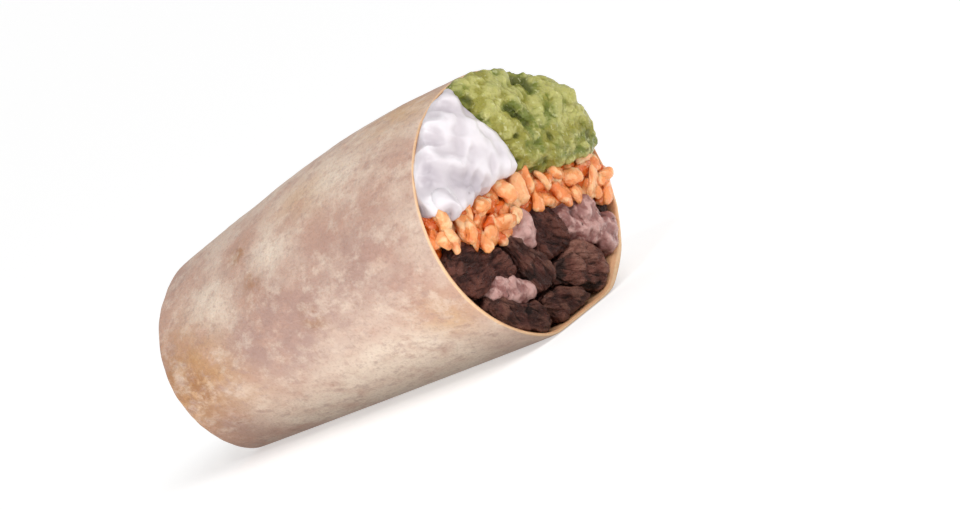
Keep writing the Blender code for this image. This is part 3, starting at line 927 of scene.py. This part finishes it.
@dataclass
class Piece:
    """One piece of meat or beans that shows in the cut."""

    node: str
    slot: str
    reliefs: tuple[Relief, ...]
    voxel_mm: float = 0.3
    passes: int = 2
    growth_mm: float = 0.25
    shoulder_facing: float = 0.55
    shoulder_width: float = 0.25

    def build(self, material: Material) -> Object:
        """Build the piece with its fibres or lumps.

        Args:
            material: The piece's finish.

        Returns:
            The finished piece.
        """
        piece = copy_of(self.node, self.node + "_food")
        remesh(piece, self.voxel_mm, self.passes)
        everywhere = np.ones(len(piece.data.vertices))
        swell(piece, self.growth_mm, everywhere)
        # Shoulder mark: where the surface faces partly out of the cut. The beef is painted lighter
        # there, partly a browned rim and partly a painted highlight.
        facing = (outward(piece)[:, 0] - self.shoulder_facing) / self.shoulder_width
        mark(piece, "shoulder", np.exp(-facing * facing))
        roughen(piece, self.reliefs, everywhere)
        piece.data.materials.append(material)
        finish_piece(piece, self.slot, self.node)
        return piece


@dataclass
class MeatBed:
    """All the chopped steak and mashed beans in the lower half of the roll.

    Each piece of steak has its own grain: degrees up from across the cut, and degrees
    out of the cut.
    """

    grains: tuple[tuple[float, float], ...] = (
        (-8.0, 12.0), (-69.0, -15.0), (-36.0, 18.0), (-26.0, -12.0),
        (-35.0, 10.0), (-28.0, -10.0), (-78.0, 15.0),
    )
    # Chunk 4 takes the paler copy, painted light, and chunks 1 and 3 the darker copy, painted
    # shade, to offset how the light falls on them.
    finishes: tuple[GrilledBeef, ...] = (
        BEEF_WITH_PAINTED_SHADE, GrilledBeef(), BEEF_WITH_PAINTED_SHADE, BEEF_WITH_PAINTED_LIGHT,
        GrilledBeef(), GrilledBeef(), DARKER_BEEF,
    )
    bean_count: int = 3

    def turn(self, rise: float, lean: float) -> tuple[float, float, float]:
        """Return the turn that lays fibres at rise across the cut and lean out of it."""
        return (0.0, math.radians(-rise), math.radians(90.0 + lean))

    def build(self) -> None:
        """Build the steak pieces, the bean lumps and the meat behind them."""
        for index, (grain, finish) in enumerate(zip(self.grains, self.finishes), start=1):
            turn = self.turn(*grain)
            reliefs = (
                Relief(6.0, 1.0, 2.3 * index, 2),
                Relief(3.4, 0.32, 0.9 * index, 1, (3.2, 1.0, 1.0), turn, Pattern.FIBROUS, 0.12),
                Relief(1.5, 0.26, 1.1 * index, 2, (4.5, 1.0, 1.3), turn, Pattern.RIDGED),
                Relief(1.0, 0.14, 0.7 * index, 2),
            )
            chunk = Piece(f"steak_chunk_{index}", "grilled_beef", reliefs)
            chunk.build(replace(finish, turn=turn).material(str(index)))
        mash = MashedBeans().material()
        for index in range(1, self.bean_count + 1):
            reliefs = (
                Relief(5.5, 1.5, 3.7 * index, 3),
                Relief(4.4, 0.5, 2.9 * index, pattern=Pattern.PEBBLED),
                Relief(1.6, 0.22, 1.9 * index, 2),
            )
            Piece(f"bean_mash_{index}", "mashed_beans", reliefs, growth_mm=1.3).build(mash)
        bed = Layer(
            "steak_filling", "steak_filling_food", "grilled_beef",
            (Relief(5.0, 1.6, 4.4, 3), Relief(1.5, 0.5, 2.2, 2)),
            voxel_mm=0.7, growth_mm=0.5, front_depth=24 * MM, side_weight=0.2,
        )
        bed.build(DARKER_BEEF.material("bed"))


@dataclass(frozen=True)
class GrainLayer:
    """One layer of grains: their spacing, their lift out of the band, how they lie and their mean
    tone, set lower in the deeper layers as painted shade.
    """

    spacing: float
    lift: float
    lean: float
    tone: float


@dataclass
class RiceBand:
    """The orange rice: a core a little smaller than the band, under real grains."""

    core_depth: float = 1.8 * MM
    face_depth: float = 8.0 * MM
    join_depth: float = 7.0 * MM
    rough_depth: float = 4.0 * MM
    rough_fade: float = 2.0 * MM
    core_voxel_mm: float = 0.55
    # The core shows between the grains; its low tone paints it deep orange, painted shade in the
    # gaps.
    core_tone: float = 0.08
    # The deeper the layer, the lower its tone and the deeper its orange: painted shade between the
    # grains.
    layers: tuple[GrainLayer, ...] = (
        GrainLayer(2.5 * MM, -1.7 * MM, 0.4, 0.1),
        GrainLayer(3.3 * MM, -0.4 * MM, 0.45, 0.35),
        GrainLayer(4.6 * MM, 0.8 * MM, 0.45, 0.55),
    )
    tries: int = 3000
    grain_length: float = 8.6 * MM
    grain_width: float = 4.5 * MM
    grain_thickness: float = 2.1 * MM
    bow: float = 0.6 * MM
    squareness: float = 0.65
    bluntness: float = 3.4
    taper: float = 0.16
    size_limits: tuple[tuple[float, float], ...] = ((0.6, 1.0), (0.65, 1.0), (0.8, 1.1))
    edge_angle: float = 46.0
    tip: float = 0.5
    dent_size: float = 2.2 * MM
    dent_depth: float = 0.55 * MM
    wall_room: float = 3.2 * MM
    parting: float = 24.4 * MM
    parting_width: float = 2.2 * MM
    hollow: float = 3.0 * MM
    uneven_lift: float = 0.5 * MM
    swing: float = 0.9
    parting_swing: float = 0.25
    tone_spread: float = 0.22
    seed: int = 23

    def build(self) -> None:
        """Build the core and lay the grains on it."""
        finish = OrangeRice().material()
        core = copy_of("rice", "rice_core")
        keep_side(core, CUT_X - self.core_depth, False)
        self.roughen_core(core)
        mark(core, "grain_tone", np.full(len(core.data.vertices), self.core_tone))
        core.data.materials.clear()
        core.data.materials.append(finish)
        finish_piece(core, "orange_rice", "rice")
        grains = self.grains()
        grains.data.materials.append(finish)
        finish_piece(grains, "orange_rice")

    def roughen_core(self, core: Object) -> None:
        """Make the core's mesh finer at its face and roughen it there."""
        face = copy_of("rice", "rice_core_face")
        keep_side(face, CUT_X - self.core_depth, False)
        keep_side(face, CUT_X - self.face_depth, True)
        remesh(face, self.core_voxel_mm, 2)
        past = places(face)[:, 0] - CUT_X + self.rough_depth
        share = np.clip(past / self.rough_fade, 0.0, 1.0)
        roughen(face, (Relief(3.4, 0.9, 5.5, pattern=Pattern.PEBBLED),), share)
        keep_side(core, CUT_X - self.join_depth, False)
        select_only(core, face)
        bpy.ops.object.join()

    def template(self) -> tuple[np.ndarray, np.ndarray, list[tuple[int, ...]]]:
        """Shape one grain: plump, slightly bowed, blunt at one end and finer at the other.

        Returns:
            Its vertices about its own middle, the way out at each, and its faces.
        """
        bpy.ops.object.select_all(action="DESELECT")
        bpy.ops.mesh.primitive_uv_sphere_add(segments=12, ring_count=13, radius=1.0)
        grain = bpy.context.object
        rows = places(grain)
        along = rows[:, 2].copy()
        around = np.arctan2(rows[:, 1], rows[:, 0])
        thickness = (1.0 - np.abs(along) ** self.bluntness) ** 0.5 * (1.0 - self.taper * along)
        sides = (np.cos(around), np.sin(around))
        across, over = (np.sign(side) * np.abs(side) ** self.squareness for side in sides)
        shaped = np.stack(
            (
                along * self.grain_length / 2,
                across * thickness * self.grain_width / 2,
                over * thickness * self.grain_thickness / 2 - self.bow * along * along,
            ),
            axis=1,
        )
        out = np.stack((0.4 * along, sides[0] * thickness, sides[1] * thickness), axis=1)
        faces = [tuple(face.vertices) for face in grain.data.polygons]
        bpy.data.objects.remove(grain, do_unlink=True)
        return shaped, out, faces

    def spots(self, spacing: float, shuffle: random.Random) -> list[Vector]:
        """Pick places on the band's face that keep their distance.

        Args:
            spacing: The least distance between two places.
            shuffle: The source of random numbers.

        Returns:
            The places, none of them in the parting between the two clumps.
        """
        solid = frame["nodes"]["rice"].data
        corners = [vertex.co for vertex in solid.vertices]
        tree = BVHTree.FromPolygons(corners, [tuple(face.vertices) for face in solid.polygons])
        low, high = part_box("rice")
        middle = TORTILLA_HIGH.z / 2
        found: list[Vector] = []
        for _ in range(self.tries):
            y = shuffle.uniform(low.y, high.y)
            z = shuffle.uniform(low.z, high.z)
            if abs(y + self.parting) < self.parting_width:
                continue
            hit, _, _, _ = tree.ray_cast(Vector((high.x + 0.02, y, z)), Vector((-1.0, 0.0, 0.0)))
            if hit is None or hit.x < CUT_X - self.hollow:
                continue
            if math.hypot(hit.y, hit.z - middle) > CUT_RADIUS - self.wall_room:
                continue
            if all((hit - other).length > spacing for other in found):
                found.append(hit)
        return found

    def dented(self, rows: np.ndarray, out: np.ndarray) -> tuple[np.ndarray, np.ndarray]:
        """Make one placed grain uneven, as cooked and broken grains are.

        Args:
            rows: The grain's vertices where it lies.
            out: The way out at each vertex.

        Returns:
            The moved vertices, and how high each stands from 0 to 1.
        """
        spots = [Vector(row) / self.dent_size for row in rows]
        heights = np.array([noise.fractal(spot, 1.0, 2.0, 2) for spot in spots])
        moved = rows + out * (heights * self.dent_depth)[:, None]
        return moved, np.clip(0.5 + heights * 0.5, 0.0, 1.0)

    def grain_turn(self, place: Vector, lean: float, shuffle: random.Random) -> np.ndarray:
        """Return the matrix that turns one grain: on end at the parting, else mostly level.

        Args:
            place: Where the grain lies.
            lean: How far it may lean out of the face, in radians.
            shuffle: The source of random numbers.
        """
        turn = Euler((
            shuffle.gauss(math.pi / 2, self.tip),
            shuffle.uniform(-lean, lean),
            math.pi / 2 + shuffle.uniform(-lean, lean),
        )).to_matrix()
        if abs(place.y + self.parting) < 2.5 * self.parting_width:
            swing = shuffle.gauss(math.pi / 2, self.parting_swing)
        else:
            swing = shuffle.gauss(0.1, self.swing)
        return np.array(Matrix.Rotation(swing, 3, "X") @ turn)

    def grains(self) -> Object:
        """Lay grains over the band's face, deepest first, and join them in one mesh.

        Returns:
            The grains as one piece.
        """
        shuffle = random.Random(self.seed)
        shape, out, faces = self.template()
        rows: list[np.ndarray] = []
        heights: list[np.ndarray] = []
        polygons: list[tuple[int, ...]] = []
        tones: list[float] = []
        for layer in self.layers:
            for place in self.spots(layer.spacing, shuffle):
                matrix = self.grain_turn(place, layer.lean, shuffle)
                size = np.array([shuffle.uniform(*limits) for limits in self.size_limits])
                lift = layer.lift + shuffle.uniform(-self.uneven_lift, self.uneven_lift)
                middle = np.array(place) + np.array((lift, 0.0, 0.0))
                start = len(rows) * len(shape)
                moved, height = self.dented((shape * size) @ matrix.T + middle, out @ matrix.T)
                rows.append(moved)
                heights.append(height)
                polygons += [tuple(start + index for index in face) for face in faces]
                tone = shuffle.gauss(layer.tone, self.tone_spread)
                tones += [min(max(tone, 0.0), 1.0)] * len(shape)
        mesh = bpy.data.meshes.new("rice_grains")
        mesh.from_pydata(np.concatenate(rows).tolist(), [], polygons)
        piece = stand("rice_grains", mesh)
        mark(piece, "grain_tone", np.array(tones))
        mark(piece, "relief_height", np.concatenate(heights))
        select_only(piece)
        bpy.ops.object.shade_smooth_by_angle(angle=math.radians(self.edge_angle))
        LOG.info("rice grains: %d", len(rows))
        return piece


@dataclass
class Studio:
    """A plain pale floor, soft light and the viewing angle."""

    azimuth: float = 41.9
    elevation: float = 7.0
    roll: float = -28.7
    distance: float = 0.9
    lens: float = 140.2
    aim_right: float = 29.0 * MM
    aim_up: float = 0.9 * MM
    target_side: float = -2.4 * MM
    target_lift: float = 33.0 * MM
    floor_radius: float = 80.0
    table_seen: str = "#d6d6d6"
    table_near: str = "#8f8780"
    table_far: str = "#faf8f6"
    shadow_from: float = 0.033
    shadow_reach: float = 0.042
    table_glow: float = 0.47
    bounce_near: float = 0.3
    bounce_far: float = 0.85
    room_light: float = 0.5
    key_from: tuple[float, float, float] = (0.62, -0.22, 0.75)
    key_power: float = 1.12
    key_spread: float = 30.0
    softbox_from: tuple[float, float, float] = (0.3, -0.5, 0.6)
    softbox_at: tuple[float, float, float] = (0.0, 0.0, 0.03)
    softbox_size: float = 0.13
    softbox_power: float = 1.2

    def build(self) -> None:
        """Build the floor, the lights and the camera."""
        self.floor()
        self.room()
        self.key_light()
        self.softbox()
        self.camera()

    def floor(self) -> None:
        """Lay a wide glowing table top that looks white to the viewer. For all other rays it is
        painted darker and glows less close to the roll: a painted shadow that dims the light
        bounced onto the roll.
        """
        bpy.ops.object.select_all(action="DESELECT")
        bpy.ops.mesh.primitive_circle_add(vertices=96, radius=self.floor_radius, fill_type="NGON")
        floor = bpy.context.object
        floor.name = "floor"
        kit = MaterialKit("white_table")
        place = kit.place
        rays = kit.add("LightPath").outputs["Is Camera Ray"]
        beside = kit.stretched(place, (0.3, 1.0, 1.0))
        away = kit.add("VectorMath", {"operation": "LENGTH"}, {0: beside}).outputs["Value"]
        # Painted shadow round the roll, seen only by rays other than the camera's: a darker colour
        # and a weaker glow close to it.
        far = kit.between(away, self.shadow_from, self.shadow_reach)
        unseen = kit.blend(far, self.table_near, self.table_far)
        seen = kit.blend(rays, unseen, self.table_seen)
        bounce = kit.ramp(far, self.bounce_near, self.bounce_far)
        glow = kit.ramp(rays, bounce, self.table_glow)
        kit.links.new(seen, kit.shader.inputs["Base Color"])
        kit.links.new(glow, kit.shader.inputs["Emission Strength"])
        kit.shader.inputs["Emission Color"].default_value = linear("#ffffff")
        kit.shader.inputs["Roughness"].default_value = 0.9
        floor.data.materials.append(kit.material)

    def room(self) -> None:
        """Surround the table with a white room that fills the shadows."""
        world = bpy.data.worlds.new("white_room")
        bpy.context.scene.world = world
        world.use_nodes = True
        tree = world.node_tree
        seen = tree.nodes["Background"]
        fill = tree.nodes.new("ShaderNodeBackground")
        for wall, strength in ((seen, 1.0), (fill, self.room_light)):
            wall.inputs["Color"].default_value = linear("#ffffff")
            wall.inputs["Strength"].default_value = strength
        rays = tree.nodes.new("ShaderNodeLightPath")
        choice = tree.nodes.new("ShaderNodeMixShader")
        tree.links.new(rays.outputs["Is Camera Ray"], choice.inputs[0])
        tree.links.new(fill.outputs[0], choice.inputs[1])
        tree.links.new(seen.outputs[0], choice.inputs[2])
        tree.links.new(choice.outputs[0], tree.nodes["World Output"].inputs["Surface"])
        scene = bpy.context.scene
        scene.view_settings.view_transform = "Standard"
        scene.view_settings.look = "None"

    def key_light(self) -> None:
        """Light the food and the whole table from one wide, distant source."""
        lamp = bpy.data.lights.new("key_light", "SUN")
        lamp.energy = self.key_power
        lamp.angle = math.radians(self.key_spread)
        holder = stand("key_light", lamp)
        holder.rotation_euler = Vector(self.key_from).to_track_quat("Z", "Y").to_euler()

    def softbox(self) -> None:
        """Hang one small softbox that faces the food and gives moist surfaces their glints."""
        lamp = bpy.data.lights.new("highlight_softbox", "AREA")
        lamp.shape = "SQUARE"
        lamp.size = self.softbox_size
        lamp.energy = self.softbox_power
        holder = stand("highlight_softbox", lamp)
        holder.location = self.softbox_from
        toward_food = Vector(self.softbox_at) - Vector(self.softbox_from)
        holder.rotation_euler = toward_food.to_track_quat("-Z", "Y").to_euler()

    def camera(self) -> None:
        """Set the camera low in front of the cut, rolled so that the roll climbs."""
        turn, rise, roll = (math.radians(v) for v in (self.azimuth, self.elevation, self.roll))
        level = math.cos(rise)
        back = Vector((math.sin(turn) * level, -math.cos(turn) * level, math.sin(rise)))
        right = Vector((math.cos(turn), math.sin(turn), 0.0))
        up = back.cross(right)
        tilted_right = right * math.cos(roll) + up * math.sin(roll)
        tilted_up = -right * math.sin(roll) + up * math.cos(roll)
        target = Vector((0.0, self.target_side, self.target_lift))
        place = target + back * self.distance
        aim = target + tilted_right * self.aim_right + tilted_up * self.aim_up
        toward = (place - aim).normalized()
        across = tilted_up.cross(toward).normalized()
        above = toward.cross(across)
        camera = bpy.data.cameras.new("camera")
        camera.lens = self.lens
        camera.clip_start = 0.01
        holder = stand("camera", camera)
        axes = Matrix((across, above, toward)).transposed().to_4x4()
        holder.matrix_world = Matrix.Translation(place) @ axes
        bpy.context.scene.camera = holder


def main() -> None:
    """Build every piece in turn."""
    logging.basicConfig(level=logging.INFO, format="%(name)s: %(message)s")
    noise.seed_set(NOISE_SEED)
    Studio().build()
    TortillaWrap().build()
    guacamole = Layer(
        "guacamole", "guacamole_mash", "avocado_mash",
        (
            Relief(9.0, 1.2, 1.2, 2),
            Relief(6.5, 0.5, 4.1, 2, pattern=Pattern.RIDGED),
            Relief(3.4, 0.8, 5.1, pattern=Pattern.PEBBLED),
            Relief(1.5, 0.42, 8.8, 3),
        ),
        voxel_mm=0.3, growth_mm=1.1, settling=1,
    )
    guacamole.build(AvocadoMash().material())
    cream = Layer(
        "sour_cream", "sour_cream_spoonful", "cream",
        (
            Relief(11.0, 1.5, 8.3, 2, (1.0, 0.8, 1.9), (0.8, 0.0, 0.0), Pattern.RIDGED),
            Relief(6.5, 0.75, 3.9, 1, (1.0, 0.7, 1.6), (-0.5, 0.0, 0.0), Pattern.RIDGED),
            Relief(5.0, 0.5, 1.9, 3),
        ),
        voxel_mm=0.3, passes=5, growth_mm=0.8, settling=1,
        drops=(Drop((2.2, -26.4, 9.3), (1.8, 1.4, 3.4)),),
    )
    cream.build(SouredCream().material())
    RiceBand().build()
    MeatBed().build()


if __name__ == "__main__":
    main()
